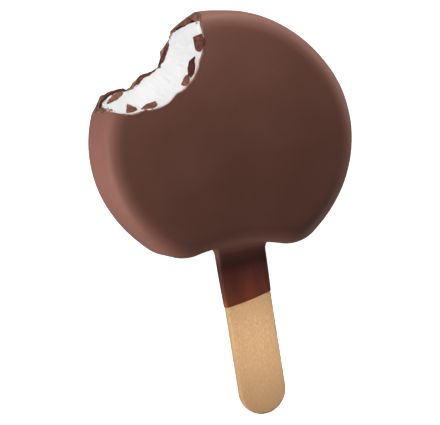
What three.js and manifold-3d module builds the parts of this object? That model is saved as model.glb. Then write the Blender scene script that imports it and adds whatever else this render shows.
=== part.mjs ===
// An ice cream bar: a round head of vanilla ice cream on a flat wooden stick, dipped in
// milk chocolate down to the neck, with one bite taken out of its upper left side.
// Millimetres, +Z up. The bar lies on its back: the back face is on Z = 0, the stick runs
// along -Y, and the origin is under the middle of the round head.
import * as THREE from "three";
import { mergeVertices } from "three/addons/utils/BufferGeometryUtils.js";
import Module from "manifold-3d";

// ---- Driving dimensions -------------------------------------------------------------

const HEAD_RADIUS = 39; // the round head, outside the chocolate
const HEAD_THICKNESS = 22;
const HEAD_TURN = THREE.MathUtils.degToRad(-4); // the head sits a little askew on its stick
const HEAD_SQUARENESS = 0.33; // fuller to the top and sides, flatter on the diagonals
const HEAD_NARROWING = 0.29; // a little wider than it is tall
const LOBE_RADIUS = 12.5; // the two soft lobes between the round sides and the base
const BASE_DROP = 32.8; // from the head's middle down to the bottom of the lobes
const BASE_HOLLOW = 2.1; // the base rises this much between the lobes, towards the stick

const EDGE_INSET = 6.4; // how far in the front edge starts to round over
const EDGE_DROP = 4.8; // how far down it reaches before the wall is upright
const EDGE_POWER = 2.25; // 2 is a plain quarter ellipse, more is squarer
const BACK_EDGE_RADIUS = 5;
const WALL_DRAFT = 0.35; // the front is drawn in this much against the back
const FACE_CROWN = 0.5; // the front face swells this much towards its middle

const COAT = 1.3; // chocolate round the head
const FIT_GAP = 0.2; // free space between neighbouring pieces

const STICK_LENGTH = 93;
const STICK_WIDTH = 15;
const STICK_THICKNESS = 2.6;
const STICK_BEVEL = 0.35;
const STICK_END = -84.4; // the free end of the stick, along Y

const STICK_GAP = 0.12; // free space round the stick
const SLEEVE_COAT = 0.5; // out to the chocolate on the stick, measured from the wood
const SLEEVE_EDGE_RADIUS = 0.9;
const SLEEVE_END = -49.4; // where that chocolate stops, on the stick's middle line
const SLEEVE_SLANT = 0.19; // it runs lower down on the left side than on the right
const NECK_FLARE = 4.6; // the fillet from the sleeve to the head's base, along and across it
const NECK_RISE = 3; // and through its thickness

const BITE_X = -27; // the bite's axis stands just outside the head
const BITE_Y = 38;
const BITE_REACH_FRONT = 24.1; // from that axis to the bitten surface, at the front face
const BITE_REACH_BACK = 19.6; // and at the back face, where the bite is shallower
const TOOTH_RADIUS = 11; // each tooth leaves a shallow scallop of this radius
const TOP_END = -18; // the bite's ends lie past these directions from the axis, in degrees
const LEFT_END = -96;
const END_FLARE = 0.026; // there the back opens further, by this times the degrees squared
const FOOT = 1.5; // between the ends the bite is shallower still at the back, by this much,
const FOOT_FROM = -102; // from this direction
const FOOT_TO = -38; // to this one,
const FOOT_RAMP = 14; // and it takes this many degrees to get there at each side

const CHOCOLATE_COLOUR = 0x5a3b31;
const ICE_CREAM_COLOUR = 0xf7f3ee;
const WOOD_COLOUR = 0xd9b078;

// ---- Solids -------------------------------------------------------------------------

const MERGE_DISTANCE = 1e-4; // corners nearer than this are one corner

const wasm = await Module();
wasm.setup();

function toSolid(geometry) {
  const bare = new THREE.BufferGeometry();
  bare.setAttribute("position", geometry.getAttribute("position"));
  bare.setIndex(geometry.getIndex());
  const merged = mergeVertices(bare, MERGE_DISTANCE);
  const vertProperties = merged.getAttribute("position").array;
  const triVerts = new Uint32Array(merged.getIndex().array);
  return new wasm.Manifold(new wasm.Mesh({ numProp: 3, vertProperties, triVerts }));
}

function toGeometry(solid) {
  const { vertProperties, triVerts } = solid.getMesh();
  const geometry = new THREE.BufferGeometry();
  geometry.setAttribute("position", new THREE.BufferAttribute(vertProperties, 3));
  geometry.setIndex(new THREE.BufferAttribute(triVerts, 1));
  geometry.computeVertexNormals();
  return geometry;
}

// Skins a stack of rings, each a loop with the same number of points, counterclockwise
// about the way the stack grows, and closes both ends with a fan to a middle point.
function skinRings(rings, firstMiddle, lastMiddle) {
  const count = rings[0].length;
  const points = [...rings.flat(), firstMiddle, lastMiddle];
  const firstHub = points.length - 2;
  const lastHub = points.length - 1;
  const lastRow = (rings.length - 1) * count;
  const triangles = [];
  for (let i = 0; i < count; i++) {
    const next = (i + 1) % count;
    for (let row = 0; row < rings.length - 1; row++) {
      const low = row * count;
      const high = low + count;
      triangles.push(low + i, low + next, high + next);
      triangles.push(low + i, high + next, high + i);
    }
    triangles.push(firstHub, next, i);
    triangles.push(lastHub, lastRow + i, lastRow + next);
  }
  const geometry = new THREE.BufferGeometry().setFromPoints(points);
  geometry.setIndex(triangles);
  return geometry;
}

// ---- Crumbly relief -----------------------------------------------------------------

// Evenly spread values from 0 to 1 at whole-number places, the same on every run.
function speckle(column, row, seed) {
  const mixed = Math.sin(column * 127.1 + row * 311.7 + seed * 74.7) * 43758.5453;
  return mixed - Math.floor(mixed);
}

// Broken-looking relief from -1 to 1: straight runs between speckles, with no smoothing.
function crumble(across, up, seed) {
  const column = Math.floor(across);
  const row = Math.floor(up);
  const right = across - column;
  const above = up - row;
  const low = THREE.MathUtils.lerp(speckle(column, row, seed), speckle(column + 1, row, seed), right);
  const high = THREE.MathUtils.lerp(
    speckle(column, row + 1, seed),
    speckle(column + 1, row + 1, seed),
    right,
  );
  return 2 * THREE.MathUtils.lerp(low, high, above) - 1;
}

// ---- The head -----------------------------------------------------------------------

const ARC_STEPS = 50; // over the top, from lobe to lobe
const LOBE_STEPS = 7;
const BASE_STEPS = 8;
const LOBE_PASSES = 20; // enough for the angle to settle where the lobes start
const NUDGE = 1e-3; // radians either side of a point, for the direction of its outline

// The head's outline, drawn in by LOBE_RADIUS: a list of core points, each with the
// outward direction in which the true outline lies from it. It runs over the top from
// right to left, round the left lobe, along the hollow base and round the right lobe.
function headCore() {
  const reach = (angle) =>
    HEAD_RADIUS -
    LOBE_RADIUS +
    HEAD_SQUARENESS * Math.cos(4 * angle) -
    HEAD_NARROWING * Math.cos(2 * angle);
  const onArc = (angle) => {
    const radius = reach(angle);
    return new THREE.Vector2(-radius * Math.sin(angle), radius * Math.cos(angle));
  };
  const lobeDrop = BASE_DROP - LOBE_RADIUS;
  let lobeAngle = Math.PI * 0.75;
  for (let pass = 0; pass < LOBE_PASSES; pass++) {
    lobeAngle = Math.acos(-lobeDrop / reach(lobeAngle));
  }

  const core = [];
  for (let i = 0; i <= ARC_STEPS; i++) {
    const angle = THREE.MathUtils.lerp(-lobeAngle, lobeAngle, i / ARC_STEPS);
    const along = onArc(angle + NUDGE).sub(onArc(angle - NUDGE));
    core.push({ point: onArc(angle), outward: new THREE.Vector2(along.y, -along.x).normalize() });
  }

  // The base is an arc about a point below it, which meets both lobes smoothly.
  const leftLobe = onArc(lobeAngle);
  const hollowReach = (leftLobe.x ** 2 + BASE_HOLLOW ** 2) / (2 * BASE_HOLLOW);
  const hollowMiddle = new THREE.Vector2(0, BASE_HOLLOW - lobeDrop - hollowReach);
  const swing = Math.asin(-leftLobe.x / hollowReach);
  const turnFrom = core[ARC_STEPS].outward.angle();
  const turnTo = Math.PI * 1.5 + swing;
  for (let i = 1; i <= LOBE_STEPS; i++) {
    const turn = THREE.MathUtils.lerp(turnFrom, turnTo, i / LOBE_STEPS);
    const outward = new THREE.Vector2(Math.cos(turn), Math.sin(turn));
    core.push({ point: leftLobe.clone(), outward });
  }
  for (let i = 1; i < BASE_STEPS; i++) {
    const turn = Math.PI / 2 + THREE.MathUtils.lerp(swing, -swing, i / BASE_STEPS);
    const upward = new THREE.Vector2(Math.cos(turn), Math.sin(turn));
    const point = hollowMiddle.clone().addScaledVector(upward, hollowReach);
    core.push({ point, outward: upward.negate() });
  }
  const rightLobe = core
    .slice(ARC_STEPS + 1, ARC_STEPS + 1 + LOBE_STEPS)
    .reverse()
    .map(({ point, outward }) => ({
      point: new THREE.Vector2(-point.x, point.y),
      outward: new THREE.Vector2(-outward.x, outward.y),
    }));
  core.push(...rightLobe);

  const middle = new THREE.Vector2();
  for (const { point, outward } of core) {
    point.rotateAround(middle, HEAD_TURN);
    outward.rotateAround(middle, HEAD_TURN);
  }
  return core;
}

// How many rings round the back and the front edge have, outside the chocolate and inside.
const OUTER_EDGE = { backSteps: 4, frontSteps: 6 };
const INNER_EDGE = { backSteps: 3, frontSteps: 5 };

// The head's section at its edge, from the back face round to the front one: how far
// each ring is drawn in from the widest outline, and how high it lies.
function edgeSection({ backSteps, frontSteps }) {
  const section = [];
  for (let i = 0; i <= backSteps; i++) {
    const turn = ((Math.PI / 2) * i) / backSteps;
    section.push({
      inset: BACK_EDGE_RADIUS * (1 - Math.sin(turn)),
      height: BACK_EDGE_RADIUS * (1 - Math.cos(turn)),
    });
  }
  for (let i = 0; i <= frontSteps; i++) {
    const turn = ((Math.PI / 2) * i) / frontSteps;
    const inward = EDGE_INSET * (1 - Math.cos(turn) ** (2 / EDGE_POWER));
    const upward = EDGE_DROP * Math.sin(turn) ** (2 / EDGE_POWER);
    section.push({
      inset: WALL_DRAFT + inward,
      height: HEAD_THICKNESS - FACE_CROWN - EDGE_DROP + upward,
    });
  }
  return section;
}

// The rings across the crowned front face, as shares of its outline.
const FACE_RINGS = [0.72, 0.4];

// The whole unbitten head, or with shrink the same form drawn in by that much all over.
function headGeometry(shrink, edge) {
  const core = headCore();
  const middleHeight = HEAD_THICKNESS / 2;
  const squash = 1 - shrink / middleHeight;
  const rings = edgeSection(edge).map(({ inset, height }) => {
    const z = middleHeight + (height - middleHeight) * squash;
    return core.map(({ point, outward }) => {
      const reach = LOBE_RADIUS - inset - shrink;
      return new THREE.Vector3(point.x + outward.x * reach, point.y + outward.y * reach, z);
    });
  });
  const rim = rings[rings.length - 1];
  for (const share of FACE_RINGS) {
    const swell = FACE_CROWN * (1 - share * share) * squash;
    rings.push(rim.map(({ x, y, z }) => new THREE.Vector3(x * share, y * share, z + swell)));
  }
  const back = new THREE.Vector3(0, 0, rings[0][0].z);
  const front = new THREE.Vector3(0, 0, rim[0].z + FACE_CROWN * squash);
  return skinRings(rings, back, front);
}

// ---- The bite -----------------------------------------------------------------------

// Where each tooth went in: its direction from the bite's axis in degrees, and how much
// further it reached than the plain bite.
const TEETH = [
  { direction: -1, extra: -0.9 },
  { direction: -25, extra: 0.3 },
  { direction: -47, extra: 1.0 },
  { direction: -73, extra: 0.9 },
  { direction: -96, extra: 0.6 },
  { direction: -121, extra: 0.3 },
];

// How far past a limit a direction is, in degrees, or 0 before it.
function degreesPast(direction, limit, sense) {
  return Math.max(0, sense * (THREE.MathUtils.radToDeg(direction) - limit));
}

// How far the bitten surface lies from the bite's axis, in a direction and at a height.
// Towards its two ends the bite widens at the back, where the shell broke away.
function biteReach(direction, height) {
  const rise = THREE.MathUtils.clamp(height / HEAD_THICKNESS, 0, 1);
  const degrees = THREE.MathUtils.radToDeg(direction);
  const footShare =
    THREE.MathUtils.clamp((degrees - FOOT_FROM) / FOOT_RAMP, 0, 1) *
    THREE.MathUtils.clamp((FOOT_TO - degrees) / FOOT_RAMP, 0, 1);
  const atBack = BITE_REACH_BACK - FOOT * footShare;
  const plain = THREE.MathUtils.lerp(atBack, BITE_REACH_FRONT, rise);
  let reach = 0;
  for (const tooth of TEETH) {
    const off = direction - THREE.MathUtils.degToRad(tooth.direction);
    const hub = plain + tooth.extra - TOOTH_RADIUS;
    const inside = TOOTH_RADIUS ** 2 - (hub * Math.sin(off)) ** 2;
    if (inside > 0 && Math.cos(off) > 0) {
      reach = Math.max(reach, hub * Math.cos(off) + Math.sqrt(inside));
    }
  }
  const topEnd = degreesPast(direction, TOP_END, 1);
  const leftEnd = degreesPast(direction, LEFT_END, -1);
  return reach + END_FLARE * (topEnd ** 2 + leftEnd ** 2) * (1 - rise);
}

// At both ends the ice cream came away from the shell's wall and left a hollow there.
const HOLLOW_DELAY = 9; // it starts this many degrees past where the end does
const HOLLOW_SLOPE = 1.1; // and gets this much deeper for each degree after that
const HOLLOW_DEPTH = 5;
const ICE_RELIEF = 0.3; // the depth of the crumbly relief on the bitten ice cream
const ICE_GRAIN = { along: 1.9, up: 2.3, seed: 1 };

function iceCreamReach(direction, height) {
  const along = direction * BITE_REACH_FRONT;
  const pastTop = degreesPast(direction, TOP_END + HOLLOW_DELAY, 1);
  const pastLeft = degreesPast(direction, LEFT_END - HOLLOW_DELAY, -1);
  const hollow = Math.min(HOLLOW_DEPTH, HOLLOW_SLOPE * (pastTop + pastLeft));
  const relief = crumble(along / ICE_GRAIN.along, height / ICE_GRAIN.up, ICE_GRAIN.seed);
  return biteReach(direction, height) + hollow + ICE_RELIEF * relief;
}

// The shell stands proud of the ice cream at the back, more in some places than in others,
// and its edge is ragged there and at the ends.
const PROUD_AT_BACK = 0.9;
const PROUD_SWING = 0.4;
const PROUD_HEIGHT = 14; // up the wall from the back to where it is flush
const PROUD_STRETCH = 6.5; // how far along the edge it takes to change
const RAGGED_AT_BACK = 0.5;
const RAGGED_AT_FRONT = 0.25;
const RAGGED_AT_ENDS = 0.3; // this much more at the ends
const RAGGED_GROWTH = 0.03; // which it reaches by this much for each degree
const SHELL_GRAIN = { along: 2.1, up: 2.4, seed: 5 };

function shellReach(direction, height) {
  const along = direction * BITE_REACH_FRONT;
  const rise = THREE.MathUtils.clamp(height / HEAD_THICKNESS, 0, 1);
  const past = degreesPast(direction, TOP_END, 1) + degreesPast(direction, LEFT_END, -1);
  const proudShare = 1 - THREE.MathUtils.clamp(height / PROUD_HEIGHT, 0, 1);
  const proud = proudShare * (PROUD_AT_BACK + PROUD_SWING * crumble(along / PROUD_STRETCH, 0, 9));
  const ragged =
    THREE.MathUtils.lerp(RAGGED_AT_BACK, RAGGED_AT_FRONT, rise) +
    Math.min(RAGGED_AT_ENDS, RAGGED_GROWTH * past);
  const relief = crumble(along / SHELL_GRAIN.along, height / SHELL_GRAIN.up, SHELL_GRAIN.seed);
  return biteReach(direction, height) - proud + ragged * relief;
}

const WEDGE_FROM = THREE.MathUtils.degToRad(-142);
const WEDGE_TO = THREE.MathUtils.degToRad(32);
const WEDGE_MARGIN = 2; // how far the wedge runs past both faces
const SHELL_WEDGE_STEPS = { directions: 124, heights: 16 };
const ICE_WEDGE_STEPS = { directions: 84, heights: 14 };

// A wedge with its point on the bite's axis, as far out as the reach says.
function biteTool(reachOf, steps) {
  const bottom = -WEDGE_MARGIN;
  const top = HEAD_THICKNESS + WEDGE_MARGIN;
  const rings = [];
  for (let row = 0; row <= steps.heights; row++) {
    const z = THREE.MathUtils.lerp(bottom, top, row / steps.heights);
    const ring = [new THREE.Vector3(BITE_X, BITE_Y, z)];
    for (let i = 0; i <= steps.directions; i++) {
      const direction = THREE.MathUtils.lerp(WEDGE_FROM, WEDGE_TO, i / steps.directions);
      const reach = reachOf(direction, z);
      const x = BITE_X + reach * Math.cos(direction);
      const y = BITE_Y + reach * Math.sin(direction);
      ring.push(new THREE.Vector3(x, y, z));
    }
    rings.push(ring);
  }
  const inside = (WEDGE_FROM + WEDGE_TO) / 2;
  const middleAt = (z) =>
    new THREE.Vector3(BITE_X + Math.cos(inside), BITE_Y + Math.sin(inside), z);
  return skinRings(rings, middleAt(bottom), middleAt(top));
}

// ---- Shards of shell on the bitten ice cream ------------------------------------------

// Each shard lies on the bitten surface: its direction from the bite's axis in degrees, the
// height of its middle, how far its lower edge is lifted from the ice cream in degrees, how
// far its smooth face stands out, and its corners, along the bite and up it.
const SHARDS = [
  {
    direction: -19.2,
    height: 18.7,
    lift: 14,
    out: 1.1,
    corners: [[1.5, -3], [2.9, 0.3], [2.2, 1.9], [0.6, 3.6], [-1.6, 2.4], [-2.8, 0.9], [-2.3, -0.9]],
  },
  {
    direction: -37.3,
    height: 18.5,
    lift: 12,
    out: 0.5,
    corners: [[3.2, -0.8], [2.7, -0.3], [0.5, 1.1], [-1.8, 1.9], [-3, 1.8], [-2.6, 0.3], [1.5, -2]],
  },
  {
    direction: -47.6,
    height: 18.8,
    lift: 16,
    out: 0.6,
    corners: [[2.1, -1.1], [0.7, 0.9], [-0.4, 2.4], [-1.9, 1.5], [-1.8, -0.8], [1, -1.6]],
  },
  {
    direction: -80,
    height: 19.2,
    lift: 42,
    out: 0.8,
    corners: [[2.2, 0.3], [0.6, 1.5], [-1.7, 1.7], [-2.9, 0.9], [-2.8, -0.4], [-0.9, -1.1], [2.2, -1]],
  },
  {
    direction: -92.5,
    height: 18.6,
    lift: 46,
    out: 0.7,
    corners: [[1, -0.5], [1.5, 1.5], [-0.9, 1.7], [-2.2, 0.9], [-1.2, -2.1]],
  },
  {
    direction: -97,
    height: 5,
    lift: 34,
    out: 0.6,
    corners: [[3.7, -2], [2.3, -0.6], [0.2, 0.9], [-2.2, 1.2], [-0.1, -0.9], [2.2, -2.4]],
  },
];
const SHARD_THICKNESS = 1.3;

function shardGeometry({ direction, height, lift, out, corners }) {
  const outline = new THREE.Shape(corners.map(([x, y]) => new THREE.Vector2(x, y)));
  const geometry = new THREE.ExtrudeGeometry(outline, {
    depth: SHARD_THICKNESS,
    bevelEnabled: false,
  });
  geometry.rotateX(THREE.MathUtils.degToRad(lift));
  geometry.translate(0, 0, -out);
  const facing = THREE.MathUtils.degToRad(direction);
  const lean = (BITE_REACH_FRONT - BITE_REACH_BACK) / HEAD_THICKNESS;
  const level = new THREE.Vector3(-Math.sin(facing), Math.cos(facing), 0);
  const upward = new THREE.Vector3(lean * Math.cos(facing), lean * Math.sin(facing), 1).normalize();
  const inward = new THREE.Vector3().crossVectors(level, upward);
  const reach = biteReach(facing, height);
  const x = BITE_X + reach * Math.cos(facing);
  const y = BITE_Y + reach * Math.sin(facing);
  const place = new THREE.Matrix4().makeBasis(level, upward, inward).setPosition(x, y, height);
  return geometry.applyMatrix4(place);
}

// ---- The stick and the chocolate on it ------------------------------------------------

const STICK_LEVEL = HEAD_THICKNESS / 2; // the height of the stick's middle plane

const STICK_END_STEPS = 14;
const BEVEL_STEPS = 2;

// A flat stick with round ends, or with grow the room that it needs.
function stickGeometry(grow) {
  const halfWidth = STICK_WIDTH / 2 + grow;
  const lowCentre = STICK_END + STICK_WIDTH / 2;
  const highCentre = STICK_END + STICK_LENGTH - STICK_WIDTH / 2;
  const bevel = grow > 0 ? 0 : STICK_BEVEL;
  const outline = new THREE.Shape();
  outline.absarc(0, lowCentre, halfWidth - bevel, Math.PI, 2 * Math.PI, false);
  outline.absarc(0, highCentre, halfWidth - bevel, 0, Math.PI, false);
  outline.closePath();
  const depth = STICK_THICKNESS + 2 * grow - 2 * bevel;
  const geometry = new THREE.ExtrudeGeometry(outline, {
    depth,
    curveSegments: STICK_END_STEPS,
    bevelEnabled: bevel > 0,
    bevelThickness: bevel,
    bevelSize: bevel,
    bevelSegments: BEVEL_STEPS,
  });
  geometry.translate(0, 0, STICK_LEVEL - depth / 2);
  return geometry;
}

const FLARE_STEPS = 5;
const CORNER_STEPS = 3;

// The chocolate on the stick, as rings along it: a rounded rectangle that flares into the
// head's base at the top, in line with the turned head, and is cut on a slant at the bottom.
function sleeveGeometry() {
  const neckTop = BASE_HOLLOW - BASE_DROP;
  const baseSlant = Math.tan(HEAD_TURN);
  const stations = [{ y: neckTop + COAT / 2, flare: 1, slant: baseSlant }];
  for (let i = 0; i <= FLARE_STEPS; i++) {
    const turn = ((Math.PI / 2) * i) / FLARE_STEPS;
    stations.push({
      y: neckTop - NECK_FLARE * (1 - Math.cos(turn)),
      flare: 1 - Math.sin(turn),
      slant: baseSlant,
    });
  }
  stations.push({ y: SLEEVE_END, flare: 0, slant: SLEEVE_SLANT });

  const rings = stations.map(({ y, flare, slant }) => {
    const halfWidth = STICK_WIDTH / 2 + SLEEVE_COAT + NECK_FLARE * flare;
    const halfHeight = STICK_THICKNESS / 2 + SLEEVE_COAT + NECK_RISE * flare;
    const round = SLEEVE_EDGE_RADIUS + NECK_RISE * flare;
    const ring = [];
    for (let quarter = 0; quarter < 4; quarter++) {
      const sideX = quarter === 0 || quarter === 3 ? 1 : -1;
      const sideZ = quarter < 2 ? 1 : -1;
      for (let i = 0; i <= CORNER_STEPS; i++) {
        const turn = (Math.PI / 2) * (quarter + i / CORNER_STEPS);
        const x = sideX * (halfWidth - round) + round * Math.cos(turn);
        const z = sideZ * (halfHeight - round) + round * Math.sin(turn);
        ring.push(new THREE.Vector3(x, y + slant * x, STICK_LEVEL + z));
      }
    }
    return ring;
  });
  const top = new THREE.Vector3(0, stations[0].y, STICK_LEVEL);
  const bottom = new THREE.Vector3(0, SLEEVE_END, STICK_LEVEL);
  return skinRings(rings, top, bottom);
}

// ---- The three pieces -----------------------------------------------------------------

const stickRoom = toSolid(stickGeometry(STICK_GAP));

function shellSolid() {
  return toSolid(headGeometry(0, OUTER_EDGE))
    .add(toSolid(sleeveGeometry()))
    .subtract(toSolid(headGeometry(COAT, INNER_EDGE)))
    .subtract(stickRoom)
    .subtract(toSolid(biteTool(shellReach, SHELL_WEDGE_STEPS)));
}

// The shards are trimmed to the unbitten ice cream, which keeps them clear of the shell.
function iceCreamSolid() {
  const unbitten = toSolid(headGeometry(COAT + FIT_GAP, INNER_EDGE));
  let solid = unbitten.subtract(stickRoom).subtract(toSolid(biteTool(iceCreamReach, ICE_WEDGE_STEPS)));
  for (const shard of SHARDS) {
    solid = solid.add(toSolid(shardGeometry(shard)).intersect(unbitten));
  }
  return solid;
}

function piece(name, geometry, color, roughness) {
  const material = new THREE.MeshStandardMaterial({ color, roughness, metalness: 0 });
  const mesh = new THREE.Mesh(geometry, material);
  mesh.name = name;
  return mesh;
}

const bar = new THREE.Group();
bar.add(piece("chocolate_shell", toGeometry(shellSolid()), CHOCOLATE_COLOUR, 0.4));
bar.add(piece("ice_cream", toGeometry(iceCreamSolid()), ICE_CREAM_COLOUR, 0.6));
bar.add(piece("stick", stickGeometry(0), WOOD_COLOUR, 0.8));

export default bar;
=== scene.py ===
"""An ice cream bar that lies on its back: its stick, its ice cream, its chocolate, and
the shards, flakes and crumbs of chocolate that the bite left. Metres, +Z up."""
import math
import random

import bpy
import numpy as np
from mathutils import Matrix, Vector, noise


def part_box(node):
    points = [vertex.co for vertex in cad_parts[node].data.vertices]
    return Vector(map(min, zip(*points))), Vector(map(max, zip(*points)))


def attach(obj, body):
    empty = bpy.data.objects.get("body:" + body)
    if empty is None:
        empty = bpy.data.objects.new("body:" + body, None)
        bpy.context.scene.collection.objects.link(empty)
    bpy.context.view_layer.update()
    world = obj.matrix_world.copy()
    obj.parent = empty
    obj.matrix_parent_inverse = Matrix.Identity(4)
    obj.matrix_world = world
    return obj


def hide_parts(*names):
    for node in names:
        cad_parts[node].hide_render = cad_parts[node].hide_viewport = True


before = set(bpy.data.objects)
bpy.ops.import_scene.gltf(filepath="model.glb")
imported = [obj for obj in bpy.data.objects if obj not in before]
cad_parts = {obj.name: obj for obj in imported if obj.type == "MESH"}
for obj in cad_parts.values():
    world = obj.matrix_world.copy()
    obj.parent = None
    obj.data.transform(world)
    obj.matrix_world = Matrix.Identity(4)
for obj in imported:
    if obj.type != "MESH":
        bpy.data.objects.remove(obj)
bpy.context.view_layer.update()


# ---- The stick ----------------------------------------------------------------------
# A flat birch stick with round ends, stamped from veneer and tumbled until its edges
# are soft. The ice cream is frozen round its upper end, so it needs no other fixing.

mm = 0.001
stick_low, stick_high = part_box("stick")
stick_half_width = stick_high.x
stick_half_thickness = (stick_high.z - stick_low.z) / 2
stick_level = (stick_high.z + stick_low.z) / 2
stick_edge_radius = 0.85 * mm
grain_depth = 0.018 * mm
strand_width = 0.55 * mm
strand_length = 14 * mm
swell_width = 5 * mm
swell_length = 22 * mm
handled_from = -62 * mm
handled_to = -84 * mm
cut_edge_from = 6.8 * mm
cut_edge_to = 7.3 * mm


def add_mesh(name, points, faces):
    """A smooth-shaded mesh object from an array of points and a list of faces."""
    mesh = bpy.data.meshes.new(name)
    mesh.from_pydata(np.asarray(points, float).tolist(), [], faces)
    mesh.update()
    mesh.shade_smooth()
    piece = bpy.data.objects.new(name, mesh)
    bpy.context.scene.collection.objects.link(piece)
    return piece


def ring_faces(rows, count):
    """The faces over a stack of equal rings, each counterclockwise about the way the stack
    grows, and the fans that close both ends at the two points that follow the rings."""
    near = np.arange(count)
    far = (near + 1) % count
    faces = []
    for row in range(rows - 1):
        low = row * count
        high = low + count
        faces += np.stack([low + near, low + far, high + far, high + near], 1).tolist()
    first_middle = np.full(count, rows * count)
    top = (rows - 1) * count
    faces += np.stack([first_middle, far, near], 1).tolist()
    faces += np.stack([first_middle + 1, top + near, top + far], 1).tolist()
    return faces


def skin_rings(name, rings, first_middle, last_middle):
    """A closed skin over a stack of equal rings, with a middle point at both ends."""
    rows, count, _ = rings.shape
    points = np.concatenate([rings.reshape(-1, 3), [first_middle, last_middle]])
    return add_mesh(name, points, ring_faces(rows, count))


def stadium(half_width, straight_steps=96, end_steps=36):
    """The stick's outline, drawn in to a smaller half width, as an (N, 2) array. Its second
    half is the first one turned about the stick's middle."""
    end_centre = stick_high.y - stick_half_width
    twice_middle = np.array([0, stick_low.y + stick_high.y])
    turn = np.linspace(0, math.pi, end_steps + 1)
    top = np.stack([half_width * np.cos(turn), end_centre + half_width * np.sin(turn)], 1)
    run = np.linspace(0, 1, straight_steps + 1)[1:-1, None]
    left_side = top[-1] * (1 - run) + (twice_middle - top[0]) * run
    half = np.concatenate([top, left_side])
    return np.concatenate([half, twice_middle - half])


def stick_rings(grow=0):
    """The stick's rings from the middle of its back face to the middle of its front."""
    edge = stick_edge_radius
    half_width = stick_half_width + grow
    half_thickness = stick_half_thickness + grow
    face_steps = 14
    edge_steps = 6
    levels = []
    for share in np.linspace(0.04, 1, face_steps, endpoint=False):
        levels.append(((half_width - edge) * share, -half_thickness))
    for turn in np.linspace(0, math.pi / 2, edge_steps + 1):
        inset = edge * (1 - math.sin(turn))
        levels.append((half_width - inset, -half_thickness + edge * (1 - math.cos(turn))))
    levels += [(reach, -level) for reach, level in reversed(levels)]
    rings = []
    for reach, level in levels:
        outline = stadium(reach)
        height = np.full((len(outline), 1), stick_level + level)
        rings.append(np.concatenate([outline, height], 1))
    return np.array(rings)


def skin_stick(name, rings, grow=0):
    """Closes the stick's rings at the middles of its back face and its front face."""
    middle_y = (stick_low.y + stick_high.y) / 2
    half = stick_half_thickness + grow
    return skin_rings(name, rings, (0, middle_y, stick_level - half),
                      (0, middle_y, stick_level + half))


def make_stick():
    """The stick, with the grain and the slow swells of its faces as relief."""
    rings = stick_rings()
    for point in rings.reshape(-1, 3):
        x, y, z = point
        side = 1 if z > stick_level else -1
        strands = noise.noise(Vector((x / strand_width, y / strand_length, side * 3.0)))
        swell = noise.noise(Vector((x / swell_width, y / swell_length, side * 7.0)))
        point[2] += side * (grain_depth * strands + 2 * grain_depth * swell)
    return skin_stick("birch_stick", rings)


def new_material(name):
    """A material with only a Principled shader, as (material, node tree, shader)."""
    material = bpy.data.materials.new(name)
    material.use_nodes = True
    tree = material.node_tree
    return material, tree, tree.nodes["Principled BSDF"]


def set_inputs(tree, node, **inputs):
    """Sets a node's inputs by name: a socket is linked, and any other value is filled in."""
    for label, value in inputs.items():
        socket = node.inputs[label.replace("_", " ")]
        if isinstance(value, bpy.types.NodeSocket):
            tree.links.new(value, socket)
        else:
            socket.default_value = value


def add_node(tree, kind, **inputs):
    """Adds a node and sets its inputs."""
    node = tree.nodes.new(kind)
    set_inputs(tree, node, **inputs)
    return node


def object_place(tree):
    """The place on the object, in its own coordinates, as a vector output."""
    return add_node(tree, "ShaderNodeTexCoord").outputs["Object"]


def along_axis(tree, vector, axis):
    """One coordinate of a vector output."""
    return add_node(tree, "ShaderNodeSeparateXYZ", Vector=vector).outputs[axis]


def noise_at(tree, scale, detail=3.0, roughness=0.55, offset=0.0):
    """Noise in the object's coordinates: scale is its repeats for each metre, as one number
    or as one each along X, Y and Z."""
    mapping = add_node(tree, "ShaderNodeMapping", Vector=object_place(tree),
                       Scale=tuple(scale * np.ones(3)), Location=(offset, offset, offset))
    node = add_node(tree, "ShaderNodeTexNoise", Vector=mapping.outputs["Vector"], Scale=1.0,
                    Detail=detail, Roughness=roughness)
    return node.outputs["Fac"]


def ramp(tree, value, stops):
    """A colour ramp with the given (position, colour) stops."""
    node = add_node(tree, "ShaderNodeValToRGB", Fac=value)
    elements = node.color_ramp.elements
    while len(elements) < len(stops):
        elements.new(0.5)
    for element, (position, colour) in zip(elements, stops):
        element.position = position
        element.color = (*colour, 1)
    return node.outputs["Color"]


def map_range(tree, value, low, high, to_low=0, to_high=1):
    """Takes a value from one range to another, and no further than its ends."""
    return add_node(tree, "ShaderNodeMapRange", Value=value, From_Min=low, From_Max=high,
                    To_Min=to_low, To_Max=to_high).outputs["Result"]


def calculate(tree, operation, *values):
    """A Math node on value outputs."""
    node = tree.nodes.new("ShaderNodeMath")
    node.operation = operation
    for value, socket in zip(values, node.inputs):
        tree.links.new(value, socket)
    return node.outputs["Value"]


def mix_colour(tree, share, first, second):
    """Mixes two colours, each a socket or a tuple, by a share that is a socket or number."""
    node = tree.nodes.new("ShaderNodeMix")
    node.data_type = "RGBA"
    for socket, value in ((node.inputs[0], share), (node.inputs[6], first), (node.inputs[7], second)):
        if isinstance(value, bpy.types.NodeSocket):
            tree.links.new(value, socket)
        elif isinstance(value, tuple):
            socket.default_value = (*value, 1)
        else:
            socket.default_value = value
    return node.outputs[2]


def tint(tree, colour, second, value, low, high, most=1):
    """Mixes a second colour in as a value goes from low to high, up to a share of most."""
    return mix_colour(tree, map_range(tree, value, low, high, 0, most), colour, second)


def bump(tree, height, distance, strength, **under):
    """Fine relief from a value output, on top of another one that is given as Normal."""
    return add_node(tree, "ShaderNodeBump", Height=height, Distance=distance,
                    Strength=strength, **under).outputs["Normal"]


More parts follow.
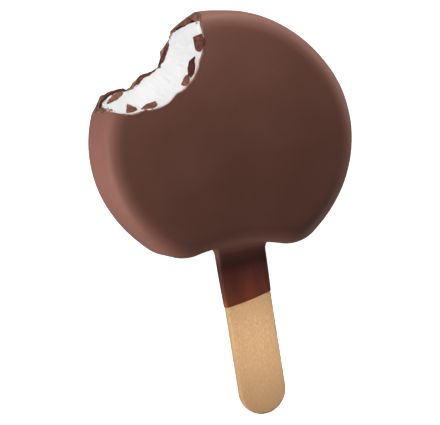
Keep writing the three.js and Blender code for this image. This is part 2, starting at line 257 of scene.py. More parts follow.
def birch_material():
    """Bare birch: fine strands and flecks, browner toward the free end and the cut edges."""
    material, tree, shader = new_material("birch")
    strands = noise_at(tree, (1300, 60, 900), detail=4)
    flecks = noise_at(tree, (3400, 900, 3400), detail=3, roughness=0.7, offset=3.1)
    bands = noise_at(tree, (260, 9, 120), detail=2, offset=7.7)
    colour = ramp(tree, flecks, [
        (0.32, (0.62, 0.35, 0.16)),
        (0.44, (0.765, 0.455, 0.224)),
        (0.56, (0.832, 0.512, 0.264)),
        (0.68, (0.925, 0.645, 0.38)),
    ])
    colour = tint(tree, colour, (0.69, 0.41, 0.205), strands, 0.7, 0.35, most=0.35)
    colour = tint(tree, colour, (0.74, 0.455, 0.235), bands, 0.35, 0.7, most=0.3)
    place = object_place(tree)
    colour = tint(tree, colour, (0.64, 0.35, 0.16), along_axis(tree, place, "Y"),
                  handled_from, handled_to, most=0.45)
    from_middle = calculate(tree, "ABSOLUTE", along_axis(tree, place, "X"))
    colour = tint(tree, colour, (0.42, 0.235, 0.11), from_middle,
                  cut_edge_from, cut_edge_to, most=0.5)
    relief = bump(tree, strands, 0.04 * mm, 0.5)
    relief = bump(tree, flecks, 0.04 * mm, 0.5, Normal=relief)
    set_inputs(tree, shader, Base_Color=colour, Roughness=0.72, Specular_IOR_Level=0.25,
               Normal=relief)
    return material


stick = make_stick()
stick.data.materials.append(birch_material())
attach(stick, "root")
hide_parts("stick")


# ---- The ice cream --------------------------------------------------------------------
# Vanilla ice cream, frozen in a round mould with two soft lobes at its base. A bite has
# opened its upper left side, and shows it airy and crumbly from face to face.

head_radius = 39 * mm
head_thickness = 22 * mm
head_turn = math.radians(-4)
head_squareness = 0.33 * mm
head_narrowing = 0.29 * mm
lobe_radius = 12.5 * mm
base_drop = 32.8 * mm
base_hollow = 2.1 * mm
edge_inset = 6.4 * mm
edge_drop = 4.8 * mm
edge_power = 2.25
back_edge_radius = 5 * mm
wall_draft = 0.35 * mm
face_crown = 0.5 * mm
coat = 1.3 * mm
gap_to_shell = 0.03 * mm
gap_to_stick = 0.05 * mm


def head_core(arc_steps=250, lobe_steps=26, base_steps=36):
    """The head's outline drawn in by lobe_radius, and which way the true outline lies from
    each of its points: over the top from right to left, round a lobe, along the base."""
    def on_arc(angle):
        """The drawn-in arc at angles from the head's top."""
        reach = (head_radius - lobe_radius + head_squareness * np.cos(4 * angle)
                 - head_narrowing * np.cos(2 * angle))
        return np.stack([-reach * np.sin(angle), reach * np.cos(angle)], -1)

    # The lobe's centre lies where the arc comes down to its height, found in a few rounds.
    lobe_drop = base_drop - lobe_radius
    lobe_angle = math.pi * 0.75
    rounds = 20
    for _ in range(rounds):
        lobe_angle = math.acos(-lobe_drop / np.hypot(*on_arc(lobe_angle)))
    angles = np.linspace(-lobe_angle, lobe_angle, arc_steps + 1)
    arc = on_arc(angles)
    nudge = 1e-3
    along = on_arc(angles + nudge) - on_arc(angles - nudge)
    arc_outward = np.stack([along[:, 1], -along[:, 0]], 1)
    arc_outward /= np.linalg.norm(arc_outward, axis=1, keepdims=True)

    lobe = arc[-1]
    hollow_reach = (lobe[0] ** 2 + base_hollow ** 2) / (2 * base_hollow)
    swing = math.asin(-lobe[0] / hollow_reach)
    turn_from = math.atan2(arc_outward[-1, 1], arc_outward[-1, 0]) % (2 * math.pi)
    turns = np.linspace(turn_from, math.pi * 1.5 + swing, lobe_steps + 1)[1:]
    lobe_outward = np.stack([np.cos(turns), np.sin(turns)], 1)
    rise = math.pi / 2 + np.linspace(swing, -swing, base_steps + 1)[1:-1]
    upward = np.stack([np.cos(rise), np.sin(rise)], 1)
    base = upward * hollow_reach + [0, base_hollow - lobe_drop - hollow_reach]

    mirror = np.array([-1, 1])
    core = np.concatenate([arc, np.tile(lobe, (lobe_steps, 1)), base,
                           np.tile(lobe * mirror, (lobe_steps, 1))])
    outward = np.concatenate([arc_outward, lobe_outward, -upward, lobe_outward[::-1] * mirror])
    turned = np.array([[math.cos(head_turn), math.sin(head_turn)],
                       [-math.sin(head_turn), math.cos(head_turn)]])
    return core @ turned, outward @ turned


def edge_section(back_steps=12, wall_steps=10, front_steps=20):
    """The head's edge from the back face to the front one, as (inset, height) pairs."""
    section = []
    for turn in np.linspace(0, math.pi / 2, back_steps + 1):
        inset = back_edge_radius * (1 - math.sin(turn))
        section.append((inset, back_edge_radius * (1 - math.cos(turn))))
    wall_top = head_thickness - face_crown - edge_drop
    for share in np.linspace(0, 1, wall_steps + 1)[1:-1]:
        height = back_edge_radius + (wall_top - back_edge_radius) * share
        section.append((wall_draft * share, height))
    for turn in np.linspace(0, math.pi / 2, front_steps + 1):
        inset = wall_draft + edge_inset * (1 - abs(math.cos(turn)) ** (2 / edge_power))
        section.append((inset, wall_top + edge_drop * math.sin(turn) ** (2 / edge_power)))
    return section


def make_head(name, shrink, face_rings=22):
    """The whole unbitten head, or with shrink the same form drawn in by that much."""
    core, outward = head_core()
    middle = head_thickness / 2
    squash = 1 - shrink / middle
    rings = []
    for inset, height in edge_section():
        outline = core + outward * (lobe_radius - inset - shrink)
        z = np.full((len(outline), 1), middle + (height - middle) * squash)
        rings.append(np.concatenate([outline, z], 1))
    first, rim = rings[0], rings[-1]
    shares = np.linspace(1, 0, face_rings + 1)[1:-1]
    for share in shares:
        swell = face_crown * (1 - share ** 2) * squash
        rings.append(rim * [share, share, 1] + [0, 0, swell])
        rings.insert(0, first * [share, share, 1])
    back = (0, 0, first[0, 2])
    front = (0, 0, rim[0, 2] + face_crown * squash)
    return skin_rings(name, np.array(rings), back, front)


# The bite is a wedge of this range of directions about an axis outside the head, cut by
# teeth, each given by its direction and how much further it reached.
bite_x = -27 * mm
bite_y = 38 * mm
wedge_from = -142
wedge_to = 32
bite_reach_front = 24.1 * mm
bite_reach_back = 19.6 * mm
tooth_radius = 11 * mm
teeth = [(-1, -0.9 * mm), (-25, 0.3 * mm), (-47, 1.0 * mm), (-73, 0.9 * mm), (-96, 0.6 * mm),
         (-121, 0.3 * mm)]
top_end = -18
left_end = -96
end_flare = 0.026 * mm
foot = 1.5 * mm
foot_from = -102
foot_to = -38
foot_ramp = 14


def past(direction, limit, sense):
    """How many degrees past a limit each direction is, or 0 before it."""
    return np.maximum(0, sense * (direction - limit))


def bite_reach(direction, height):
    """How far the bitten surface lies from the bite's axis, by degrees and height."""
    rise = np.clip(height / head_thickness, 0, 1)
    standing = foot * (np.clip((direction - foot_from) / foot_ramp, 0, 1)
                       * np.clip((foot_to - direction) / foot_ramp, 0, 1))
    plain = bite_reach_front - (bite_reach_front - bite_reach_back + standing) * (1 - rise)
    reach = np.zeros(np.broadcast(direction, height).shape)
    for facing, extra in teeth:
        off = np.radians(direction - facing)
        hub = plain + extra - tooth_radius
        inside = tooth_radius ** 2 - (hub * np.sin(off)) ** 2
        met = hub * np.cos(off) + np.sqrt(np.maximum(inside, 0))
        reach = np.where((inside > 0) & (np.cos(off) > 0), np.maximum(reach, met), reach)
    ends = past(direction, top_end, 1) ** 2 + past(direction, left_end, -1) ** 2
    return reach + end_flare * ends * (1 - rise)


def speckle(column, row, seed):
    """Evenly spread values from 0 to 1 at whole-number places."""
    mixed = np.sin(column * 127.1 + row * 311.7 + seed * 74.7) * 43758.5453
    return mixed - np.floor(mixed)


def crumble(across, up, seed, soft=False):
    """Relief from -1 to 1 between speckles: straight runs, or soft ones."""
    column, row = np.floor(across), np.floor(up)
    right, above = across - column, up - row
    if soft:
        right = right * right * (3 - 2 * right)
        above = above * above * (3 - 2 * above)
    low = speckle(column, row, seed) * (1 - right) + speckle(column + 1, row, seed) * right
    high = (speckle(column, row + 1, seed) * (1 - right)
            + speckle(column + 1, row + 1, seed) * right)
    return 2 * (low * (1 - above) + high * above) - 1


def pits(across, up, seed, size, share):
    """Round hollows from 0 to 1 deep, one in a share of the cells of a loose grid."""
    deep = np.zeros(np.broadcast(across, up).shape)
    column, row = np.floor(across), np.floor(up)
    for i in (-1, 0, 1):
        for j in (-1, 0, 1):
            c, r = column + i, row + j
            open_here = speckle(c, r, seed) < share
            away = np.hypot(across - c - speckle(c, r, seed + 1), up - r - speckle(c, r, seed + 2))
            width = size * (0.4 + 0.9 * speckle(c, r, seed + 3))
            deep = np.maximum(deep, open_here * np.clip(1 - (away / width) ** 2, 0, 1))
    return deep


# How far the ice cream swells out at the foot of the bite, in millimetres, at directions
# round it.
ice_swell = [(-142, 0.2), (-112, 0.3), (-106, 0.9), (-98, 0.9), (-92, 0.5), (-86, 0.2), (-75, 0.1),
             (-70, 0.85), (-61, 0.95), (-56, 0.7), (-48, 0.5), (-41, 0.8), (-36, 0.5), (-30, 0.3),
             (-10, 0.3), (0, 0.0), (32, 0.0)]
swell_height = 8 * mm
hollow_from_top = -9.5
hollow_slant_top = 0.33
hollow_from_left = -103.5
hollow_slant_left = 0.4
hollow_depth = 5 * mm
hollow_steepness = 2.2 * mm
hollow_raggedness = [(1.3, 1.3 * mm, 30), (0.7, 0.5 * mm, 31)]
crease = [(-46, 1), (-49, 6), (-51, 10.5), (-53.5, 16)]
crease_depth = 0.38 * mm
crease_width = 0.7 * mm
crease_lip = 0.8
crease_lip_offset = 1.6

# The crumble of the bitten ice cream: depth, length along the bite and up it in millimetres,
# seed, and whether it is soft.
ice_crumble = [(0.2, 1.9, 2.9, 1, True), (0.08, 0.85, 1.4, 2, True), (0.03, 0.36, 0.5, 3, False),
               (0.05, 0.5, 5, 4, True)]
bubble_depth = 0.14 * mm
bubble_spacing = 1.5 * mm
rim_smear_from = 18.4 * mm
rim_smear_to = 20.5 * mm


def crease_at(along, height):
    """A soft fold that runs slantwise up the bite, with a raised lip along one side."""
    turns = np.radians([direction for direction, _ in crease]) * bite_reach_front
    levels = np.array([level for _, level in crease]) * mm
    inside = (height > levels[0]) & (height < levels[-1])
    middle = np.interp(height, levels, turns)
    off = (along - middle) / crease_width
    return inside * (np.exp(-off ** 2) - crease_lip * np.exp(-(off - crease_lip_offset) ** 2))


def ice_cream_reach(direction, height):
    """The bitten ice cream: tooth scallops, a hollow at both ends, drag marks and crumble."""
    along = np.radians(direction) * bite_reach_front
    places, widths = zip(*ice_swell)
    swell = mm * np.interp(direction, places, widths) * (1 - np.clip(height / swell_height, 0, 1))
    ragged = sum(degrees * crumble(height / length, 0, seed)
                 for degrees, length, seed in hollow_raggedness)
    hollow_top = hollow_from_top + hollow_slant_top * height / mm + ragged
    hollow_left = hollow_from_left - hollow_slant_left * height / mm + ragged
    hollow = np.minimum(hollow_depth, hollow_steepness * (past(direction, hollow_top, 1)
                                                          + past(direction, hollow_left, -1)))
    relief = 0
    for depth, length, rise, seed, soft in ice_crumble:
        relief = relief + depth * mm * crumble(along / (length * mm), height / (rise * mm), seed, soft)
    relief = relief - crease_depth * crease_at(along, height)
    bubbles = bubble_depth * pits(along / bubble_spacing, height / bubble_spacing, 20, 0.22, 0.25)
    return bite_reach(direction, height) + hollow + relief + bubbles - swell


def make_wedge(name, reach_of, direction_steps, height_steps):
    """What the bite took: a wedge with its point on the bite's axis."""
    margin = 2 * mm
    directions = np.linspace(wedge_from, wedge_to, direction_steps + 1)
    angles = np.radians(directions)
    rings = []
    for z in np.linspace(-margin, head_thickness + margin, height_steps + 1):
        reach = reach_of(directions, np.full_like(directions, z))
        ring = np.stack([bite_x + reach * np.cos(angles), bite_y + reach * np.sin(angles),
                         np.full_like(angles, z)], 1)
        rings.append(np.concatenate([[(bite_x, bite_y, z)], ring]))
    middle = math.radians((wedge_from + wedge_to) / 2)
    ends = [(bite_x + mm * math.cos(middle), bite_y + mm * math.sin(middle), z)
            for z in (-margin, head_thickness + margin)]
    return skin_rings(name, np.array(rings), *ends)


def cut(piece, tool, operation="DIFFERENCE"):
    """Applies a Boolean with a tool object, and removes the tool."""
    modifier = piece.modifiers.new("cut", "BOOLEAN")
    modifier.operation = operation
    modifier.solver = "MANIFOLD"
    modifier.object = tool
    depsgraph = bpy.context.evaluated_depsgraph_get()
    result = bpy.data.meshes.new_from_object(piece.evaluated_get(depsgraph))
    piece.modifiers.clear()
    piece.data = result
    bpy.data.objects.remove(tool)


def stick_room(grow):
    """The stick's form grown on all sides, to cut its slot with a fine gap."""
    return skin_stick("stick_room", stick_rings(grow), grow)


def soften(piece, angle):
    """Smooth shading, with sharp edges kept where faces meet at more than an angle."""
    piece.data.shade_smooth()
    piece.data.set_sharp_from_angle(angle=math.radians(angle))


def make_ice_cream():
    """The filling of the shell, with the stick's slot and the bite cut out of it."""
    piece = make_head("vanilla_ice_cream", coat + gap_to_shell)
    cut(piece, stick_room(gap_to_stick))
    cut(piece, make_wedge("bitten_ice_cream", ice_cream_reach, direction_steps=420, height_steps=110))
    soften(piece, angle=60)
    return piece


def ice_cream_material():
    """White ice cream with fine grains, and smeared with chocolate just under the front rim."""
    material, tree, shader = new_material("vanilla_ice_cream")
    cloudy = noise_at(tree, 210, detail=3)
    grains = noise_at(tree, 2400, detail=4, roughness=0.65)
    colour = ramp(tree, cloudy, [
        (0.3, (0.865, 0.812, 0.798)),
        (0.55, (0.9, 0.853, 0.84)),
        (0.75, (0.925, 0.89, 0.878)),
    ])
    colour = tint(tree, colour, (0.94, 0.92, 0.91), grains, 0.62, 0.78, most=0.35)
    smears = noise_at(tree, 520, detail=2, offset=8)
    level = along_axis(tree, object_place(tree), "Z")
    near_rim = map_range(tree, level, rim_smear_from, rim_smear_to, 0, 0.85)
    smeared = calculate(tree, "MULTIPLY", near_rim, map_range(tree, smears, 0.42, 0.58))
    colour = mix_colour(tree, smeared, colour, (0.74, 0.52, 0.41))
    set_inputs(tree, shader, Base_Color=colour, Roughness=0.58, Specular_IOR_Level=0.35,
               Normal=bump(tree, grains, 0.1 * mm, 0.7), Subsurface_Weight=0.25,
               Subsurface_Radius=(1.0, 0.9, 0.8), Subsurface_Scale=0.8 * mm)
    return material


ice_cream = make_ice_cream()
ice_cream.data.materials.append(ice_cream_material())
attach(ice_cream, "root")
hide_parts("ice_cream")


# ---- The chocolate shell --------------------------------------------------------------
# Milk chocolate in which the frozen head was dipped down to the neck, so it set as one
# thin brittle shell with a sleeve on the stick. The bite broke it to a ragged edge.

neck_top = base_hollow - base_drop
neck_flare = 3.3 * mm
neck_rise = 3 * mm
sleeve_coat = 0.42 * mm
sleeve_end_coat = 0.16 * mm
sleeve_end = -48.2 * mm
sleeve_slant = 0.155
sleeve_bow = 0.35 * mm
sleeve_corner_share = 0.8
sleeve_side_from = -6.7 * mm
sleeve_side_to = -7.4 * mm
# Painted shade: from the head's foot down over the neck the skin turns dark, and the sleeve runs from
# that dark top to the red of its thin coat at the lip.
neck_shade_from = -32.5 * mm
neck_shade_to = -37 * mm
sleeve_red_from = -36 * mm
sleeve_red_to = -49 * mm
gap_to_sleeve = 0.02 * mm

# The slow swells of the dipped skin: their size, depth and seed. They fade out toward the
# neck and the face that the bar rests on.
skin_swells = [(11 * mm, 0.1 * mm, 3), (4.5 * mm, 0.03 * mm, 9)]
skin_swell_limit = 0.06 * mm
swells_from = neck_top - 3 * mm
swells_ramp = 4 * mm
resting_ramp = 2 * mm

# How far the back of the shell stands out past the ice cream, in millimetres, at directions
# round the bite.
back_ledge = [(-142, 0.6), (-112, 0.9), (-109, 1.0), (-106, 3.0), (-103, 2.3), (-100, 2.0),
              (-94, 1.25), (-88, 0.85), (-82, 1.0), (-79, 0.5), (-75, 0.4), (-70, 1.25),
              (-61, 1.45), (-57, 1.2), (-54, 0.5), (-49, 0.8), (-45, 0.55), (-42, 0.55),
              (-37, 1.3), (-34, 1.5), (-25, 1.4), (-20, 0.8), (-17, -0.35), (-13, -0.35),
              (-10, 0.7), (-6, 1.1), (4, 1.4), (32, 0.8)]
ledge_height = 14 * mm

# How ragged the broken edge is, in millimetres, and how that grows past the bite's ends for
# each degree. Its crumble: share of the raggedness, length along the bite and up it in
# millimetres, seed, and how it fades past the ends: from, over how many degrees, and to what.
ragged_back = 0.34
ragged_front = 0.16
ragged_growth = 0.02
ragged_most_growth = 0.2
edge_crumble = [(1, 2.1, 2.4, 5, 1.3, 16, 0.1), (0.4, 0.8, 0.7, 6, 1, 12, 0),
                (0.15, 0.33, 0.3, 7, 1, 12, 0)]

# A face of the bite is broken chocolate, unless it looks up or down by more than this.
skin_looks_up = 0.8

# The broken edge's front rim: a smear of ice cream between these heights, then a brown line.
smear_low = 20.2 * mm
smear_full = 20.6 * mm
line_low = 20.95 * mm
line_full = 21.2 * mm
smear_radius = 35 * mm
smear_fade = 1 * mm


def sleeve_stations(flare_steps=18, run_steps=14, lip_steps=5):
    """Along the sleeve: (y, flare, slant, coat) from inside the head down to its lip."""
    base_slant = math.tan(head_turn)
    stations = [(neck_top + coat / 2, 1, base_slant, sleeve_coat)]
    for turn in np.linspace(0, math.pi / 2, flare_steps + 1):
        stations.append((neck_top - neck_flare * (1 - math.cos(turn)), 1 - math.sin(turn),
                         base_slant, sleeve_coat))
    neck_low = neck_top - neck_flare
    for share in np.linspace(0, 1, run_steps + 1)[1:]:
        y = neck_low + (sleeve_end - neck_low) * share
        slant = base_slant + (sleeve_slant - base_slant) * share
        stations.append((y, 0, slant, sleeve_coat + (sleeve_end_coat - sleeve_coat) * share ** 2))
    for turn in np.linspace(0, math.pi / 2, lip_steps + 1)[1:-1]:
        lip = sleeve_end_coat
        stations.append((sleeve_end - lip * math.sin(turn), 0, sleeve_slant,
                         lip * math.cos(turn)))
    return stations


def make_sleeve(corner_steps=6, side_steps=12):
    """The sleeve round the stick, which flares out into the head at the neck."""
    long_side = 4 * mm
    rings = []
    for y, flare, slant, thickness in sleeve_stations():
        half_width = stick_half_width + thickness + neck_flare * flare
        half_height = stick_half_thickness + thickness + neck_rise * flare
        radius = stick_edge_radius + sleeve_corner_share * thickness + neck_rise * flare
        bow = sleeve_bow if flare == 0 else 0
        reach = max(0, (neck_top - neck_flare - y) / (neck_top - neck_flare - sleeve_end))
        ring = []
        for quarter in range(4):
            side_x = 1 if quarter in (0, 3) else -1
            side_z = 1 if quarter < 2 else -1
            for turn in np.linspace(quarter, quarter + 1, corner_steps + 1) * math.pi / 2:
                ring.append((side_x * (half_width - radius) + radius * math.cos(turn),
                             side_z * (half_height - radius) + radius * math.sin(turn)))
        dense = []
        for (x, z), (next_x, next_z) in zip(ring, ring[1:] + ring[:1]):
            steps = side_steps if math.hypot(next_x - x, next_z - z) > long_side else 1
            for share in np.arange(steps) / steps:
                dense.append((x + (next_x - x) * share, z + (next_z - z) * share))
        rings.append([(x, y + slant * x - bow * reach * (1 - (x / half_width) ** 2),
                       stick_level + z) for x, z in dense])
    rings = np.array(rings)
    first_y, last_y = rings[0, :, 1].mean(), rings[-1, :, 1].mean()
    return skin_rings("sleeve", rings, (0, first_y, stick_level), (0, last_y, stick_level))


def shell_reach(direction, height):
    """The broken shell: it stands proud at the back, and its edge is ragged and flaky."""
    along = np.radians(direction) * bite_reach_front
    rise = np.clip(height / head_thickness, 0, 1)
    ends = past(direction, top_end, 1) + past(direction, left_end, -1)
    places, widths = zip(*back_ledge)
    ledge = mm * np.interp(direction, places, widths)
    proud = (1 - np.clip(height / ledge_height, 0, 1)) * ledge
    growth = np.minimum(ragged_most_growth, ragged_growth * ends)
    ragged = (ragged_back + (ragged_front - ragged_back) * rise + growth) * mm
    relief = 0
    for share, length, height_length, seed, fade_from, fade_run, least in edge_crumble:
        fading = ragged * np.clip(fade_from - ends / fade_run, least, 1)
        grain = crumble(along / (length * mm), height / (height_length * mm), seed)
        relief = relief + share * fading * grain
    return bite_reach(direction, height) - proud + relief


def wave(points, size, depth, seed):
    """Slow swells over a set surface."""
    return np.array([depth * noise.noise(Vector(point) / size + Vector((seed, 0, 0)))
                     for point in points])


def make_shell():
    """The dipped head and its sleeve, with soft swells, hollowed out and bitten."""
    piece = make_head("milk_chocolate_shell", 0)
    cut(piece, make_sleeve(), "UNION")
    mesh = piece.data
    points = np.array([vertex.co for vertex in mesh.vertices])
    normals = np.array([vertex.normal for vertex in mesh.vertices])
    swell = sum(wave(points, *swell_form) for swell_form in skin_swells)
    on_head = np.clip((points[:, 1] - swells_from) / swells_ramp, 0, 1)
    resting = np.clip(points[:, 2] / resting_ramp, 0, 1)
    points += normals * (np.minimum(swell, skin_swell_limit) * on_head * resting)[:, None]
    mesh.vertices.foreach_set("co", points.ravel())
    mesh.update()
    cut(piece, make_head("hollow", coat))
    cut(piece, stick_room(gap_to_sleeve))
    cut(piece, make_wedge("bitten_shell", shell_reach, direction_steps=560, height_steps=150))
    return piece


def chocolate_skin_material():
    """The shell's satin skin, thin and red where the sleeve covers the stick, with painted shade
    at the foot of the head, on the neck and at the top of the sleeve.
    """
    material, tree, shader = new_material("milk_chocolate")
    cloudy = noise_at(tree, 60, detail=3)
    grains = noise_at(tree, 3200, detail=3)
    orange_peel = noise_at(tree, 420, detail=2, offset=5)
    colour = ramp(tree, cloudy, [
        (0.3, (0.214, 0.09, 0.065)),
        (0.55, (0.231, 0.098, 0.072)),
        (0.75, (0.248, 0.107, 0.08)),
    ])
    place = object_place(tree)
    along = along_axis(tree, place, "Y")
    lower = map_range(tree, along, sleeve_red_from, sleeve_red_to)
    # Down the sleeve: dark at its top, which is painted shade of the head, then red where the coat
    # runs thin.
    front_shade_and_red = ramp(tree, lower, [
        (0.00, (0.062, 0.027, 0.021)),
        (0.3, (0.172, 0.045, 0.035)),
        (1.00, (0.195, 0.048, 0.021)),
    ])
    side_shade_and_red = ramp(tree, lower, [
        (0.00, (0.045, 0.018, 0.013)),
        (0.5, (0.095, 0.022, 0.012)),
        (0.85, (0.16, 0.038, 0.018)),
        (1.00, (0.3, 0.075, 0.03)),
    ])
    streaks = noise_at(tree, (300, 60, 300), detail=2, offset=2)
    front_shade_and_red = tint(tree, front_shade_and_red, (0.075, 0.022, 0.015), streaks, 0.4, 0.7, most=0.5)
    red = tint(tree, front_shade_and_red, side_shade_and_red, along_axis(tree, place, "X"),
               sleeve_side_from, sleeve_side_to)
    # Painted shade: the skin darkens into the sleeve's top under the head's foot and over the neck.
    colour = tint(tree, colour, red, along, neck_shade_from, neck_shade_to)
    roughness = map_range(tree, cloudy, 0.3, 0.7, 0.46, 0.54)
    relief = bump(tree, orange_peel, 0.02 * mm, 0.5)
    relief = bump(tree, grains, 0.006 * mm, 0.6, Normal=relief)
    set_inputs(tree, shader, Base_Color=colour, Roughness=roughness, Specular_IOR_Level=0.16,
               Normal=relief)
    return material


# How much pale dusting the break carries, partly as painted light, and how white the smear
# along its front rim is, at directions round the bite.
break_dust_and_light = [(-130, 0.0), (-112, 0.3), (-106, 0.2), (-100, 0.05), (-46, 0.0), (-43, 0.35),
              (-40, 0.0), (-27, 0.1), (-22, 0.8), (-12, 0.7), (-8, 0.3)]
smear_whiteness = [(-100, 0.1), (-94, 0.4), (-91, 0.0), (-78, 0.05), (-74, 0.9), (-55, 0.9),
                   (-50, 0.1), (-46, 0.1), (-41, 0.4), (-33, 0.4), (-29, 0.1), (-20, 0.3),
                   (-8, 0.1)]


def chocolate_break_material():
    """Freshly broken chocolate: dull dark red-brown with pale scuffs that also stand as painted
    highlights, paler by direction round the bite, and smeared with ice cream along the front rim
    up to a thin brown line."""
    material, tree, shader = new_material("broken_chocolate")
    patches = noise_at(tree, 800, detail=3, roughness=0.5)
    grains = noise_at(tree, 3000, detail=3, offset=4)
    smears = noise_at(tree, 430, detail=3, offset=12)
    # The palest patches are pale scuffs and also painted highlights on the break.
    colour = ramp(tree, patches, [
        (0.36, (0.05, 0.014, 0.009)),
        (0.48, (0.108, 0.034, 0.022)),
        (0.57, (0.195, 0.072, 0.046)),
        (0.65, (0.4, 0.2, 0.13)),
    ])
    tan = ramp(tree, smears, [
        (0.36, (0.17, 0.066, 0.042)),
        (0.48, (0.34, 0.175, 0.115)),
        (0.62, (0.52, 0.33, 0.24)),
    ])
    white = ramp(tree, smears, [
        (0.36, (0.48, 0.36, 0.3)),
        (0.46, (0.64, 0.6, 0.585)),
        (0.62, (0.72, 0.706, 0.7)),
    ])
    place = object_place(tree)
    level = along_axis(tree, place, "Z")
    from_axis = add_node(tree, "ShaderNodeMapping", Vector=place,
                         Location=(-bite_x, -bite_y, 0)).outputs["Vector"]
    facing = calculate(tree, "ARCTAN2", along_axis(tree, from_axis, "Y"),
                       along_axis(tree, from_axis, "X"))
    first, last = -130, 10
    round_bite = map_range(tree, facing, math.radians(first), math.radians(last))
    shares = []
    for shares_round in (break_dust_and_light, smear_whiteness):
        shares.append(ramp(tree, round_bite, [((direction - first) / (last - first), (share,) * 3)
                                              for direction, share in shares_round]))
    dust_and_light, whiteness = shares
    # Pale dusting, partly painted light, is mixed in by direction round the bite.
    colour = mix_colour(tree, dust_and_light, colour, tan)
    smeared = mix_colour(tree, whiteness, tan, white)
    flat = add_node(tree, "ShaderNodeMapping", Vector=place, Scale=(1, 1, 0)).outputs["Vector"]
    away = add_node(tree, "ShaderNodeVectorMath", Vector=flat)
    away.operation = "LENGTH"
    smeared = tint(tree, smeared, (0.15, 0.06, 0.041), level, line_low, line_full)
    smeared = tint(tree, colour, smeared, level, smear_low, smear_full)
    colour = tint(tree, colour, smeared, away.outputs["Value"], smear_radius,
                  smear_radius - smear_fade)
    set_inputs(tree, shader, Base_Color=colour, Roughness=0.6, Specular_IOR_Level=0.12,
               Normal=bump(tree, grains, 0.05 * mm, 0.8))
    return material


def chocolate_inside_material():
    """The inner side of the shell, where the ice cream fell away from it."""
    material, tree, shader = new_material("chocolate_inside")
    patches = noise_at(tree, 650, detail=4, offset=21)
    colour = ramp(tree, patches, [
        (0.34, (0.06, 0.019, 0.012)),
        (0.54, (0.12, 0.043, 0.028)),
        (0.68, (0.23, 0.1, 0.068)),
    ])
    set_inputs(tree, shader, Base_Color=colour, Roughness=0.6, Specular_IOR_Level=0.12,
               Normal=bump(tree, patches, 0.08 * mm, 0.7))
    return material


def mark_broken(piece, slack=0.05 * mm):
    """Gives the shell's broken faces the second material and its inner side the third."""
    mesh = piece.data
    centres = np.empty((len(mesh.polygons), 3))
    normals = np.empty((len(mesh.polygons), 3))
    mesh.polygons.foreach_get("center", centres.ravel())
    mesh.polygons.foreach_get("normal", normals.ravel())
    x, y = centres[:, 0] - bite_x, centres[:, 1] - bite_y
    direction = np.degrees(np.arctan2(y, x))
    gap = np.abs(np.hypot(x, y) - shell_reach(direction, centres[:, 2]))
    in_wedge = (direction > wedge_from) & (direction < wedge_to)
    broken = in_wedge & (gap < slack) & (np.abs(normals[:, 2]) < skin_looks_up)
    to_middle = np.array([0, 0, head_thickness / 2]) - centres
    inside = ((normals * to_middle).sum(1) > 0) & (centres[:, 1] > neck_top + 2 * coat)
    slot = np.where(broken, 1, np.where(inside, 2, 0))
    mesh.polygons.foreach_set("material_index", slot.astype(np.int32))


shell = make_shell()
shell.data.materials.clear()
chocolate_break = chocolate_break_material()
shell.data.materials.append(chocolate_skin_material())
shell.data.materials.append(chocolate_break)
shell.data.materials.append(chocolate_inside_material())
mark_broken(shell)
soften(shell, angle=38)
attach(shell, "root")
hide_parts("chocolate_shell")


# ---- The shards -----------------------------------------------------------------------
# Pieces of the shell that the bite pressed into the soft ice cream, each a flat chip as
# thick as the shell, smooth outside and broken round its edge.

# Each shard: the direction and height of its place on the bitten ice cream, how far it is
# lifted from it in degrees, how far it stands out, which material its smooth face has, and its
# corners, across and up. Lengths are in millimetres. A paler face material stands for painted
# light and a darker one for painted shade.
shards = [
    (-19.2, 18.7, 14, 1.2, 0,
     [(1.5, -1.9), (2.6, 1.3), (1.6, 2.6), (0.2, 3.3), (-1.5, 2.6), (-2.6, 1.2), (-2.2, -0.1),
      (-0.2, -1.1)]),
    (-37.3, 18.5, 12, 0.8, 3,
     [(3.2, -0.8), (2.7, -0.3), (0.5, 1.1), (-1.8, 1.9), (-3.0, 1.8), (-2.6, 0.3), (-0.8, -1.2),
      (1.5, -2.0)]),
    (-47.6, 18.8, 16, 0.6, 2,
     [(1.9, -0.7), (0.5, 1.1), (-0.5, 2.6), (-1.8, 1.7), (-1.8, -0.5), (0.9, -1.2)]),
    (-97.0, 5.0, 34, 1.1, 2,
     [(3.6, -1.8), (2.4, -0.1), (0.4, 1.4), (-2.2, 1.7), (-0.3, -0.5), (2.2, -2.2)]),
    (-92.5, 18.6, 46, 0.7, 2, [(1.0, -0.5), (1.6, 1.7), (-0.9, 2.0), (-2.3, 1.2), (-1.2, -2.1)]),
    (-80.0, 19.2, 42, 0.8, 2,
     [(2.1, 0.4), (0.6, 1.5), (-1.7, 1.7), (-2.9, 0.9), (-2.8, -0.2), (-0.9, -0.9), (2.1, -0.8)]),
]
shard_thickness = 1.1 * mm


def jagged_outline(corners, step, jag, seed):
    """A polygon's edge in short steps, knocked out of line by up to jag."""
    points = []
    coarse_share, coarse_run = 0.6, 3
    for i, (start, end) in enumerate(zip(corners, corners[1:] + corners[:1])):
        start, end = np.array(start), np.array(end)
        length = np.linalg.norm(end - start)
        side = np.array([end[1] - start[1], start[0] - end[0]]) / length
        steps = max(2, round(length / step))
        for k in range(steps):
            knock = 0 if k == 0 else jag * (2 * speckle(k, i, seed) - 1)
            knock += coarse_share * jag * (2 * speckle(k // coarse_run, i, seed + 1) - 1)
            points.append(start + (end - start) * k / steps + side * knock)
    return np.array(points)


